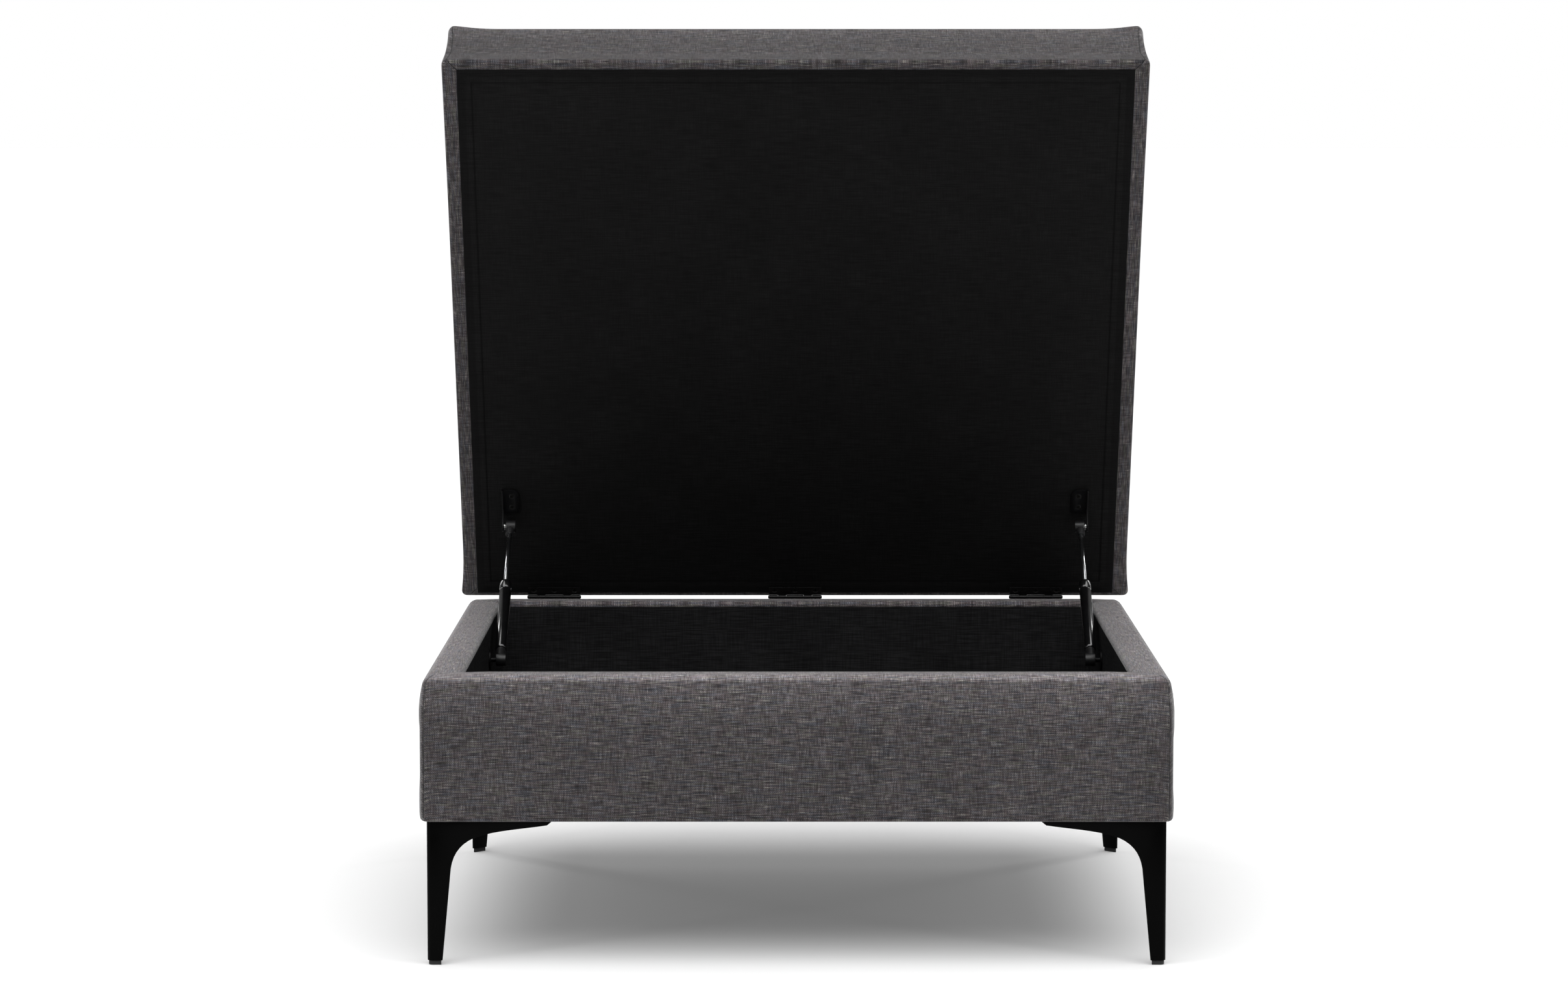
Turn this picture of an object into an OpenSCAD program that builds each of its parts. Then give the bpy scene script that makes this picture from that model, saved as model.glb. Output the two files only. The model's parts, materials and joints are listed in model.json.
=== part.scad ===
// Storage ottoman: an upholstered box on four cast corner legs, with a padded lid on
// three butt hinges and two gas struts. The lid stands open, where the struts hold it.
// +Z is up, -Y is the front, and the hinges are along the back edge.

/* [Box] */
// Width over the box upholstery
box_w = 860; // [700:10:1000]
// Depth over the box upholstery
box_d = 780; // [640:10:900]
// Height of the rim's crest above the floor
rim_h = 335; // [300:5:400]
// Height of the upholstery's lower edge above the floor
base_h = 167; // [140:1:200]
// Thickness of the wall boards
board_t = 29; // [20:1:35]
// Thickness of the bottom board
bottom_t = 15; // [9:1:20]
// Thickness of the foam on the outside of the walls
side_foam = 12.5; // [8:0.5:16]
// Thickness of the foam on the rim
rim_foam = 10; // [6:0.5:14]
// Thickness of the upholstery fabric
cover_t = 1.5; // [1:0.1:2]
// Thickness of the black lining
lining_t = 1; // [0.6:0.1:1.5]
// Thickness of the black dust covers
dust_t = 0.8; // [0.5:0.1:1]

/* [Lid] */
// Width over the lid upholstery
lid_w = 868; // [708:10:1008]
// Depth over the lid upholstery
lid_d = 784; // [644:10:904]
// Height of the lid's side faces
lid_side_h = 109; // [90:1:140]
// Rise of the padded top above the side faces
lid_crown = 17; // [5:1:25]
// How far the side faces lean in towards the top
lid_lean = 9; // [0:1:15]
// Width of the frame rails
rail_w = 70; // [60:1:90]
// Thickness of the frame rails
rail_t = 25; // [20:1:30]
// Thickness of the board over the rails
lid_board_t = 9; // [6:1:12]
// Thickness of the foam round the frame's edge
lid_edge_foam = 6; // [4:1:8]
// Fabric border beside the dust cover, at the sides and the front
dust_margin = 15; // [10:1:30]
// Fabric border behind the dust cover
dust_rear_margin = 8; // [6:1:12]
// Angle at which the struts hold the lid open
open_angle = 64.5; // [50:0.5:72]

/* [Hinges] */
// Width of a hinge
hinge_w = 69; // [60:1:80]
// Distance of the outer hinges from the middle
hinge_x = 318; // [260:1:330]
// Radius of the hinge barrel
barrel_r = 2.8; // [2.5:0.1:3.2]
// Radius of the hinge pin
pin_r = 1.2; // [1:0.1:1.4]
// Thickness of a hinge leaf
leaf_t = 1.4; // [1:0.1:1.6]
// Reach of the lid leaf from the hinge axis
lid_leaf_h = 14; // [12:1:20]
// Reach of the box leaf from the hinge axis
box_leaf_h = 38; // [34:1:45]

/* [Gas struts] */
// Distance of a strut's axis from the middle
strut_x = 372; // [360:1:374]
// Distance of the lower ball in front of the hinge axis
lower_forward = 280; // [270:1:290]
// Distance of the lower ball below the hinge axis
lower_drop = 47; // [42:1:52]
// Distance of the upper ball from the hinge axis, along the lid
upper_along = 116; // [112:1:122]
// Distance of the upper ball below the lid's underside
upper_drop = 15; // [14:0.5:17]
// Radius of the strut tube
tube_r = 7.5; // [7:0.5:8]
// Radius of the piston rod
rod_r = 3; // [2.5:0.5:3.5]
// Length of the strut tube
tube_len = 132; // [126:1:134]

/* [Legs] */
// Gap between a leg's outer faces and the upholstery's outer faces
leg_inset = 3.4; // [2:0.2:8]
// Reach of a leg's wings along the box
wing_reach = 144; // [130:1:160]
// Width of a leg at its foot
foot_w = 17.5; // [15:0.5:22]
// Width of a leg just below the wings
neck_w = 29; // [26:1:34]
// Thickness of a leg's wings
web_t = 4; // [3:0.5:6]
// Height of the plastic glide under a leg
glide_h = 5.4; // [4:0.2:8]

/* [Hidden] */
$fn = 48;
SLIP = 0.3;                                   // clearance between parts that move apart
OVER = 1;                                     // how far a cutting tool overshoots

// Box
foam_out = [box_w / 2 - cover_t, box_d / 2 - cover_t];
board_out = foam_out - [side_foam, side_foam];
board_in = board_out - [board_t, board_t];
clear_in = board_in - [lining_t, lining_t];
board_z0 = base_h + cover_t;
board_z1 = rim_h - cover_t - rim_foam;
floor_z = board_z0 + bottom_t;
rim_r = 10;                                   // rounding of the rim's outer edge
corner_r = 12;                                // rounding of the box's upright corners
hem_r = 5;                                    // rounding of the lower edge
under_wrap = 20;                              // fabric turned under the boards

// Hinge axis, and the planes of the lid's underside
hinge_y = box_d / 2 - 1;
hinge_z = rim_h + 2.9;
under_lid = barrel_r + 0.1;                   // dust cover's face above the hinge axis
lid_z0 = hinge_z + under_lid + dust_t;
lid_z1 = lid_z0 + lid_side_h;
lid_y = box_d / 2 + 2 - lid_d / 2;            // lid's middle: its back is 2 mm past the box's
rail_z0 = lid_z0 + cover_t;
rail_out = [lid_w / 2, lid_d / 2] - [1, 1] * (cover_t + lid_edge_foam + lid_lean / 3);
lid_board_z = rail_z0 + rail_t;
lid_foam_z = lid_board_z + lid_board_t;
lid_corner_r = 10;
lid_top_r = 9;                                // rounding of the lid's top edge
wide_share = 0.25;                            // height of the lid's widest line, as a share

// The open lid reaches behind the hinges, so the origin lies behind the box's middle
top_edge = [lid_y + lid_d / 2 - lid_lean - lid_top_r - hinge_y, lid_z1 - lid_top_r - hinge_z];
back_reach = top_edge[0] * cos(open_angle) + top_edge[1] * sin(open_angle) + lid_top_r;
origin_y = (hinge_y + back_reach - box_d / 2) / 2;

// Gas struts, in the plane of the hinge axis: [forward, up] from the axis
function on_lid(along, rise, angle) =
    [along * cos(angle) - rise * sin(angle), along * sin(angle) + rise * cos(angle)];
lower_ball = [lower_forward, -lower_drop];
upper_rise = under_lid - upper_drop;
open_span = lower_ball - on_lid(upper_along, upper_rise, open_angle);
open_len = norm(open_span);
strut_tilt = atan2(-open_span[1], open_span[0]);

// Strut pieces, along the strut from the lower ball
ball_r = 5;
stud_r = 3;
head_r = 8;
tube_s0 = 18;
tube_s1 = tube_s0 + tube_len;
tube_wall = 1.5;
guide_len = 12;
piston_len = 10;
piston_s1 = tube_s1 - guide_len - 2;
rod_grip = 8;                                 // rod's length inside the upper socket
neck_len = 16;                                // upper ball to the socket's lower end
plate_face = clear_in[0] - 2.5;               // inner face of the plate on the side wall
ear_x = strut_x + 8.3;                        // inner face of the lid bracket's ear
ear_t = 2;
bracket_t = 2;

// Legs
leg_out = [box_w / 2 - leg_inset, box_d / 2 - leg_inset];
plate_t = 4;
leg_screw_spots = [[25, 90], [90, 25], [58, 58]];
leg_screw_len = 19;
leg_screw_r = 2.2;
screw_r = 1.8;
head_screw_r = 3.6;

// ---------------------------------------------------------------- outlines

function arc(c, r, a0, a1, n = 6) =
    [for (i = [0:n]) let(a = a0 + (a1 - a0) * i / n) c + r * [cos(a), sin(a)]];

function bezier(p0, p1, p2, p3, n = 7) =
    [for (i = [1:n]) let(t = i / n, s = 1 - t)
        s * s * s * p0 + 3 * s * s * t * p1 + 3 * s * t * t * p2 + t * t * t * p3];

// A rectangle of half sizes [x, y] with rounded corners
function round_outline(half, r) = concat(
    arc([half[0] - r, half[1] - r], r, 0, 90), arc([r - half[0], half[1] - r], r, 90, 180),
    arc([r - half[0], r - half[1]], r, 180, 270), arc([half[0] - r, r - half[1]], r, 270, 360));

// The box's elevation: half width, from z0 to z1, with different radii below and above
function box_outline(half, z0, z1, low, high) = concat(
    arc([half - low, z0 + low], low, -90, 0), arc([half - high, z1 - high], high, 0, 90),
    arc([high - half, z1 - high], high, 90, 180), arc([low - half, z0 + low], low, 180, 270));

// One side of the lid's elevation, from its underside up to the middle of the crowned top
function lid_edge(half, z0, z1, n = 10) =
    let(low = 5, in = half - lid_lean - lid_top_r)
    concat(arc([half - lid_lean / 3 - low, z0 + low], low, -90, 0, 4),
        [[half, z0 + wide_share * (z1 - z0)]],
        arc([in, z1 - lid_top_r], lid_top_r, 0, 80, 4),
        [for (i = [1:n]) let(t = 1 - i / n) [in * t, z1 + lid_crown * (1 - t * t)]]);

function mirrored(points) = [for (i = [len(points) - 1:-1:0]) [-points[i][0], points[i][1]]];

// ---------------------------------------------------------------- shared shapes

// Moves the children from the box's own middle to the part's frame
module placed() translate([0, -origin_y, 0]) children();

// Turns the closed lid's children to where the lid stands open
module opened()
    placed() translate([0, hinge_y, hinge_z]) rotate([-open_angle, 0, 0])
        translate([0, -hinge_y, -hinge_z]) children();

// Sets a strut's children along the strut, with the lower ball at their origin
module along_strut()
    placed() translate([strut_x, hinge_y - lower_ball[0], hinge_z + lower_ball[1]])
        rotate([strut_tilt - 90, 0, 0]) children();

module sided(side) if (side < 0) mirror([1, 0, 0]) children(); else children();

// A block whose plan and two elevations are the given outlines
module three_way(half, plan, across, along, z0, z1) intersection() {
    translate([0, 0, z0 - OVER]) linear_extrude(z1 - z0 + 2 * OVER) polygon(plan);
    translate([0, half[1] + OVER, 0]) rotate([90, 0, 0])
        linear_extrude(2 * (half[1] + OVER)) polygon(across);
    translate([-half[0] - OVER, 0, 0]) rotate([90, 0, 90])
        linear_extrude(2 * (half[0] + OVER)) polygon(along);
}

// The upholstered box's outer shape, shrunk by a skin's thickness
module box_block(t) {
    half = [box_w / 2 - t, box_d / 2 - t];
    three_way(half, round_outline(half, corner_r - t),
        box_outline(half[0], base_h + t, rim_h - t, hem_r - t, rim_r - t),
        box_outline(half[1], base_h + t, rim_h - t, hem_r - t, rim_r - t),
        base_h, rim_h);
}

// The lid's outer shape, shrunk by a skin's thickness
module lid_block(t) {
    half = [lid_w / 2 - t, lid_d / 2 - t];
    edge_x = lid_edge(half[0], lid_z0 + t, lid_z1 - t);
    edge_y = lid_edge(half[1], lid_z0 + t, lid_z1 - t);
    translate([0, lid_y, 0])
        three_way(half, round_outline(half, lid_corner_r - t),
            concat(edge_x, mirrored(edge_x)), concat(edge_y, mirrored(edge_y)),
            lid_z0, lid_z1 + lid_crown);
}

// A centred block from z0 to z1 of half sizes [x, y]
module slab(half, z0, z1)
    translate([-half[0], -half[1], z0]) cube([2 * half[0], 2 * half[1], z1 - z0]);

// The quarter of the box's plan that belongs to one side, cut at 45 degrees at the corners
module side_wedge(side, z0, z1) {
    half = [box_w / 2, box_d / 2];
    reach = 2 * side_foam + board_t + rim_foam;
    front = [[-half[0] - OVER, -half[1] - OVER], [half[0] + OVER, -half[1] - OVER],
        [half[0] - reach, reach - half[1]], [reach - half[0], reach - half[1]]];
    left = [[-half[0] - OVER, -half[1] - OVER], [reach - half[0], reach - half[1]],
        [reach - half[0], half[1] - reach], [-half[0] - OVER, half[1] + OVER]];
    translate([0, 0, z0]) linear_extrude(z1 - z0)
        if (side == "front") polygon(front);
        else if (side == "back") mirror([0, 1]) polygon(front);
        else if (side == "left") polygon(left);
        else mirror([1, 0]) polygon(left);
}

// A countersunk screw pointing along +Z, with its head's face at the origin
module screw(length, r = screw_r) {
    cylinder(h = 2, r1 = head_screw_r, r2 = r);
    cylinder(h = length, r = r);
}

// ---------------------------------------------------------------- fasteners

module leg_screw_set() placed()
    for (sx = [-1, 1], sy = [-1, 1], spot = leg_screw_spots)
        translate([sx * (leg_out[0] - spot[0]), sy * (leg_out[1] - spot[1]), base_h - plate_t])
            screw(leg_screw_len, leg_screw_r);

module box_screw_set() placed() {
    for (x = [-hinge_x, 0, hinge_x], dx = [-24, 0, 24])
        translate([x + dx, hinge_y + barrel_r, hinge_z - 28]) rotate([90, 0, 0]) screw(34);
    for (side = [-1, 1], dy = [-8.5, 8.5])
        translate([side * plate_face, hinge_y - lower_ball[0] + dy, hinge_z + lower_ball[1]])
            rotate([0, side * 90, 0]) screw(20);
}

module lid_screw_set() opened() {
    for (x = [-hinge_x, 0, hinge_x], dx = [-27, 0, 27])
        translate([x + dx, hinge_y - 9.7, hinge_z + barrel_r - leaf_t]) screw(16);
    for (side = [-1, 1], along = [22, 38])
        translate([side * (strut_x - 2), hinge_y - upper_along - along,
            hinge_z + under_lid - bracket_t]) screw(18);
}

// ---------------------------------------------------------------- box

module wall_board(side) {
    across = (side == "front" || side == "back");
    sign = (side == "front" || side == "left") ? -1 : 1;
    color("burlywood") difference() {
        placed() if (across)
            translate([-board_out[0], sign > 0 ? board_in[1] : -board_out[1], board_z0])
                cube([2 * board_out[0], board_t, board_z1 - board_z0]);
        else
            translate([sign > 0 ? board_in[0] : -board_out[0], -board_in[1], board_z0])
                cube([board_t, 2 * board_in[1], board_z1 - board_z0]);
        leg_screw_set();
        box_screw_set();
    }
}

module bottom_board() color("burlywood") difference() {
    placed() slab(board_in, board_z0, floor_z);
    leg_screw_set();
}

module padding(side) color("khaki") difference() {
    placed() intersection() {
        difference() {
            box_block(cover_t);
            slab(board_out, base_h - OVER, board_z1);
            slab(board_in, base_h - OVER, rim_h + OVER);
        }
        side_wedge(side, base_h, rim_h);
    }
    box_screw_set();
}

module box_cover() color("dimgray") difference() {
    placed() difference() {
        box_block(0);
        difference() {
            box_block(cover_t);
            slab(clear_in, base_h - OVER, rim_h + OVER);
        }
        slab(clear_in, base_h - OVER, rim_h + OVER);
        slab(board_out - [under_wrap, under_wrap], base_h - OVER, floor_z);
    }
    leg_screw_set();
    box_screw_set();
}

module lining_walls() color("black") difference() {
    placed() difference() {
        slab(board_in, floor_z, rim_h - cover_t);
        slab(clear_in, floor_z - OVER, rim_h);
    }
    box_screw_set();
}

module lining_floor() color("black") placed() slab(clear_in, floor_z, floor_z + lining_t);

module base_dust_cover() color("black") difference() {
    placed() slab(board_out - [under_wrap, under_wrap], board_z0 - dust_t, board_z0);
    leg_screw_set();
}

// ---------------------------------------------------------------- legs

// A wing's outline from the leg's outer corner, [inwards, up]
leg_curve = concat(
    [[foot_w, glide_h]],
    bezier([foot_w, glide_h], [foot_w + 3, 45], [neck_w - 5, 80], [neck_w - 1.5, 112]),
    bezier([neck_w - 1.5, 112], [neck_w + 1.5, 130], [neck_w + 10, 141], [neck_w + 25, 148]),
    bezier([neck_w + 25, 148], [neck_w + 46, 157], [wing_reach - 30, 159],
        [wing_reach - 5, base_h - 4]),
    [[wing_reach, base_h]]);
wing_outline = concat([[0, glide_h]], leg_curve, [[0, base_h]]);

// The slanting web between the wings: its outline in the leg's diagonal plane
fill_reach = neck_w + 4;
fill_face = web_t + 1.2;                      // width of the slanting web's free edges
diagonal_outline = [[0, glide_h - OVER], [(foot_w + fill_face) / sqrt(2), glide_h - OVER],
    [(neck_w + fill_face) / sqrt(2), base_h - 49], [(neck_w + fill_face) / sqrt(2), base_h],
    [0, base_h]];
leg_edge_r = 6;                               // rounding of a leg's outer edge

// A leg at the origin: its outer corner on the Z axis, its wings along +X and +Y
module corner_leg() difference() {
    union() {
        translate([0, web_t, 0]) rotate([90, 0, 0]) linear_extrude(web_t)
            polygon(wing_outline);
        rotate([90, 0, 90]) linear_extrude(web_t) polygon(wing_outline);
        intersection() {
            translate([0, fill_reach, 0]) rotate([90, 0, 0]) linear_extrude(fill_reach)
                polygon(wing_outline);
            rotate([90, 0, 90]) linear_extrude(fill_reach) polygon(wing_outline);
            rotate([90, 0, 45]) translate([0, 0, -wing_reach])
                linear_extrude(2 * wing_reach) polygon(diagonal_outline);
        }
        translate([0, 0, base_h - plate_t]) linear_extrude(plate_t)
            polygon([[1, 1], [105, 1], [105, 30], [30, 105], [1, 105]]);
    }
    translate([0, 0, -OVER]) linear_extrude(base_h + 2 * OVER)
        polygon(concat([[-OVER, leg_edge_r], [-OVER, -OVER], [leg_edge_r, -OVER]],
            arc([leg_edge_r, leg_edge_r], leg_edge_r, 270, 180)));
    for (spot = leg_screw_spots)
        translate([spot[0], spot[1], base_h - plate_t]) screw(leg_screw_len, leg_screw_r);
}

module leg(sx, sy) color("#141416") placed()
    translate([sx * leg_out[0], sy * leg_out[1], 0])
        mirror([sx > 0 ? 1 : 0, 0, 0]) mirror([0, sy > 0 ? 1 : 0, 0]) corner_leg();

module glide(sx, sy) {
    step = 1.5;
    far = foot_w - step;
    color("#232325") placed() translate([sx * leg_out[0], sy * leg_out[1], 0])
        mirror([sx > 0 ? 1 : 0, 0, 0]) mirror([0, sy > 0 ? 1 : 0, 0])
            linear_extrude(glide_h)
                polygon(concat(arc([leg_edge_r, leg_edge_r], leg_edge_r - step, 180, 270),
                    [[far, step], [far, web_t], [web_t, far], [step, far]]));
}

// ---------------------------------------------------------------- hinges

knuckle_w = 11;
knuckle_x = 17;                               // middle of a lid knuckle from the hinge's middle
box_knuckles = [[-hinge_w / 2, -knuckle_x - knuckle_w / 2 - SLIP / 2],
    [-knuckle_x + knuckle_w / 2 + SLIP / 2, knuckle_x - knuckle_w / 2 - SLIP / 2],
    [knuckle_x + knuckle_w / 2 + SLIP / 2, hinge_w / 2]];
lid_knuckles = [for (s = [-1, 1])
    [s * knuckle_x - knuckle_w / 2, s * knuckle_x + knuckle_w / 2]];

module barrel(spans, r) for (span = spans)
    translate([span[0], 0, 0]) rotate([0, 90, 0]) cylinder(h = span[1] - span[0], r = r);

module box_leaf(x) color("#0c0c0d") difference() {
    placed() translate([x, hinge_y, hinge_z]) difference() {
        union() {
            barrel(box_knuckles, barrel_r);
            difference() {
                translate([-hinge_w / 2, barrel_r - leaf_t, -box_leaf_h])
                    cube([hinge_w, leaf_t, box_leaf_h]);
                barrel([for (k = lid_knuckles) k + [-SLIP / 2, SLIP / 2]], barrel_r + SLIP);
            }
        }
        barrel([[-hinge_w, hinge_w]], pin_r);
    }
    box_screw_set();
}

module lid_leaf(x) color("#0c0c0d") difference() {
    opened() translate([x, hinge_y, hinge_z]) difference() {
        union() {
            barrel(lid_knuckles, barrel_r);
            difference() {
                translate([-hinge_w / 2, -lid_leaf_h, barrel_r - leaf_t])
                    cube([hinge_w, lid_leaf_h, leaf_t]);
                barrel([for (k = box_knuckles) k + [-SLIP / 2, SLIP / 2]], barrel_r + SLIP);
            }
        }
        barrel([[-hinge_w, hinge_w]], pin_r + 0.06);
    }
    lid_screw_set();
}

module hinge_pins() color("silver") placed()
    for (x = [-hinge_x, 0, hinge_x]) translate([x, hinge_y, hinge_z]) {
        barrel([[-hinge_w / 2, hinge_w / 2]], pin_r);
        for (s = [-1, 1])
            translate([s * (hinge_w / 2 + 0.5) - 0.5, 0, 0]) rotate([0, 90, 0])
                cylinder(h = 1, r = pin_r + 0.7);
    }

// ---------------------------------------------------------------- gas struts

// A ball socket's head: its opening faces the side wall
module socket_head() rotate([0, 90, 0]) translate([0, 0, -7]) cylinder(h = 12, r = head_r);

module socket_hollow()
    rotate([0, 90, 0]) translate([0, 0, -ball_r - SLIP]) cylinder(h = 18, r = ball_r + SLIP);

module lower_socket(side) color("#151517") sided(side) along_strut() difference() {
    union() {
        socket_head();
        cylinder(h = tube_s0, r = 6);
    }
    socket_hollow();
}

module strut_plate(side) color("#1a1a1c") difference() {
    sided(side) placed()
        translate([0, hinge_y - lower_ball[0], hinge_z + lower_ball[1]]) rotate([0, 90, 0]) {
            translate([0, 0, plate_face]) cylinder(h = clear_in[0] - plate_face, r = 13);
            translate([0, 0, strut_x]) cylinder(h = plate_face - strut_x + OVER, r = stud_r);
            translate([0, 0, strut_x]) sphere(ball_r);
        }
    box_screw_set();
}

module strut_tube(side) color("#101012") sided(side) along_strut() difference() {
    translate([0, 0, tube_s0]) cylinder(h = tube_len, r = tube_r);
    translate([0, 0, tube_s0 + 2]) cylinder(h = tube_len, r = tube_r - tube_wall);
}

module strut_guide(side) color("#2a2a2c") sided(side) along_strut() difference() {
    translate([0, 0, tube_s1 - guide_len]) cylinder(h = guide_len, r = tube_r - tube_wall);
    translate([0, 0, tube_s1 - guide_len - OVER])
        cylinder(h = guide_len + 2 * OVER, r = rod_r + 0.1);
}

module piston(side) color("gray") sided(side) along_strut() difference() {
    translate([0, 0, piston_s1 - piston_len])
        cylinder(h = piston_len, r = tube_r - tube_wall - SLIP);
    translate([0, 0, piston_s1 - piston_len - OVER])
        cylinder(h = piston_len + 2 * OVER, r = rod_r);
}

module rod(side) color("gainsboro") sided(side) along_strut()
    translate([0, 0, piston_s1 - piston_len])
        cylinder(h = open_len - neck_len + rod_grip - piston_s1 + piston_len, r = rod_r);

module upper_socket(side) color("#151517") sided(side) along_strut() difference() {
    translate([0, 0, open_len]) union() {
        socket_head();
        translate([0, 0, -neck_len]) cylinder(h = neck_len, r = 5.5);
    }
    translate([0, 0, open_len]) socket_hollow();
    translate([0, 0, open_len - neck_len - OVER]) cylinder(h = rod_grip + OVER, r = rod_r);
}

module upper_stud(side) color("silver") sided(side) along_strut()
    translate([0, 0, open_len]) rotate([0, 90, 0]) {
        sphere(ball_r);
        cylinder(h = ear_x - strut_x - SLIP, r = stud_r);
    }

module lid_bracket(side) {
    far = 48;                                 // plate's end beyond the ball, up the lid
    color("#1a1a1c") difference() {
        sided(side) opened() translate([0, hinge_y - upper_along, hinge_z + under_lid]) {
            translate([0, 0, -bracket_t]) linear_extrude(bracket_t)
                polygon(concat(arc([strut_x - 2, 10 - far], 10, 180, 270),
                    [[ear_x + ear_t, -far], [ear_x + ear_t, -12], [strut_x - 12, -12]]));
            translate([ear_x, 0, 0]) rotate([90, 0, 90]) linear_extrude(ear_t)
                polygon(concat([[-12, 0], [-far, 0], [-far, -5], [-20, -5]],
                    arc([0, -upper_drop], 7, 200, 380)));
        }
        lid_screw_set();
    }
}

// ---------------------------------------------------------------- lid

module lid_rail(side) {
    across = (side == "front" || side == "back");
    sign = (side == "front" || side == "left") ? -1 : 1;
    size = across ? [2 * rail_out[0], rail_w, rail_t]
        : [rail_w, 2 * (rail_out[1] - rail_w), rail_t];
    corner = across ? [-rail_out[0], sign > 0 ? rail_out[1] - rail_w : -rail_out[1]]
        : [sign > 0 ? rail_out[0] - rail_w : -rail_out[0], rail_w - rail_out[1]];
    color("burlywood") difference() {
        opened() translate([corner[0], corner[1] + lid_y, rail_z0]) cube(size);
        lid_screw_set();
    }
}

module lid_board() color("tan") opened()
    translate([0, lid_y, 0]) slab(rail_out, lid_board_z, lid_foam_z);

module lid_edge_padding() color("khaki") opened() intersection() {
    difference() {
        lid_block(cover_t);
        translate([0, lid_y, 0]) slab(rail_out, lid_z0 - OVER, lid_foam_z + OVER);
    }
    translate([0, lid_y, 0]) slab([lid_w, lid_d], lid_z0, lid_foam_z);
}

module lid_foam() color("khaki") opened() intersection() {
    lid_block(cover_t);
    translate([0, lid_y, 0]) slab([lid_w, lid_d], lid_foam_z, lid_z1 + lid_crown + OVER);
}

module lid_cover() color("dimgray") difference() {
    opened() difference() {
        lid_block(0);
        lid_block(cover_t);
        translate([0, lid_y, 0])
            slab([lid_w / 2 - 30, lid_d / 2 - 30], lid_z0 - OVER, rail_z0 + OVER);
    }
    lid_screw_set();
}

module lid_dust_cover() color("black") difference() {
    depth = lid_d - dust_margin - dust_rear_margin;
    opened() translate([dust_margin - lid_w / 2, lid_y + dust_margin - lid_d / 2, lid_z0 - dust_t])
        cube([lid_w - 2 * dust_margin, depth, dust_t]);
    lid_screw_set();
}

// ---------------------------------------------------------------- nodes

wall_board("front");  // front_board
wall_board("back");  // back_board
wall_board("left");  // left_board
wall_board("right");  // right_board
bottom_board();
padding("front");  // front_padding
padding("back");  // back_padding
padding("left");  // left_padding
padding("right");  // right_padding
box_cover();
lining_walls();
lining_floor();
base_dust_cover();
leg(-1, -1);  // leg_front_left
leg(1, -1);  // leg_front_right
leg(-1, 1);  // leg_rear_left
leg(1, 1);  // leg_rear_right
glide(-1, -1);  // glide_front_left
glide(1, -1);  // glide_front_right
glide(-1, 1);  // glide_rear_left
glide(1, 1);  // glide_rear_right
color("silver") leg_screw_set();  // leg_screws
color("#202022") box_screw_set();  // box_screws
color("#202022") lid_screw_set();  // lid_screws
hinge_pins();
box_leaf(-hinge_x);  // box_leaf_left
box_leaf(0);  // box_leaf_middle
box_leaf(hinge_x);  // box_leaf_right
lid_leaf(-hinge_x);  // lid_leaf_left
lid_leaf(0);  // lid_leaf_middle
lid_leaf(hinge_x);  // lid_leaf_right
strut_plate(-1);  // strut_plate_left
strut_plate(1);  // strut_plate_right
lower_socket(-1);  // lower_socket_left
lower_socket(1);  // lower_socket_right
strut_tube(-1);  // strut_tube_left
strut_tube(1);  // strut_tube_right
strut_guide(-1);  // strut_guide_left
strut_guide(1);  // strut_guide_right
piston(-1);  // piston_left
piston(1);  // piston_right
rod(-1);  // rod_left
rod(1);  // rod_right
upper_socket(-1);  // upper_socket_left
upper_socket(1);  // upper_socket_right
upper_stud(-1);  // upper_stud_left
upper_stud(1);  // upper_stud_right
lid_bracket(-1);  // lid_bracket_left
lid_bracket(1);  // lid_bracket_right
lid_rail("front");  // lid_front_rail
lid_rail("back");  // lid_back_rail
lid_rail("left");  // lid_left_rail
lid_rail("right");  // lid_right_rail
lid_board();
lid_edge_padding();
lid_foam();
lid_cover();
lid_dust_cover();
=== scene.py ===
# %% [markdown]
# # A storage ottoman with its lid standing open
#
# The ottoman is an upholstered box on four black metal legs. Its padded lid turns on three
# butt hinges, and two gas struts hold it open. The engineering model gives every hard part,
# its place and how it moves. This script keeps that frame, and makes what an upholsterer
# would add: padded covers, a lining, dust covers, turned struts, screws and real finishes.

import json
import math

import bmesh
import bpy
from mathutils import Matrix, Vector


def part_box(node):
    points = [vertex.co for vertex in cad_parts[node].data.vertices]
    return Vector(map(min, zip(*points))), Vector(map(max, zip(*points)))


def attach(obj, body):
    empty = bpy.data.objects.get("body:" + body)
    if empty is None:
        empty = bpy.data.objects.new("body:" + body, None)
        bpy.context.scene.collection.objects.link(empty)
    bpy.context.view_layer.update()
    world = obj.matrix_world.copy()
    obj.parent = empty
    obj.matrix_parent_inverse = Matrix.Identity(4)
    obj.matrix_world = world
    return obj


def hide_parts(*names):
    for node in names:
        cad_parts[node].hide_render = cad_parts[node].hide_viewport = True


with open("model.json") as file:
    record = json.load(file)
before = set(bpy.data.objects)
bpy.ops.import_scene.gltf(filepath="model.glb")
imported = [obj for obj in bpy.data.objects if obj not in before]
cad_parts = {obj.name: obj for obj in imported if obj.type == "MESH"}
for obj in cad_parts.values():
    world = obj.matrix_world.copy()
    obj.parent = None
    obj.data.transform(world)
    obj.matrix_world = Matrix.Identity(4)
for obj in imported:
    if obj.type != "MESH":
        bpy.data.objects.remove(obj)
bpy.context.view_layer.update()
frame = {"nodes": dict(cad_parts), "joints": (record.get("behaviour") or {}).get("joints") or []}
nodes = frame["nodes"]
MM = 0.001
print("frame loaded:", len(nodes), "nodes")

# %% [markdown]
# The main sizes come from the frame, so that a changed model carries its covers with it.
# The hinge joint says where the lid turns and how far it stands open. One matrix takes a
# closed lid to that place, so all of the lid's pieces are modelled lying flat, which is
# far easier to think about, and are opened at the end.

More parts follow.
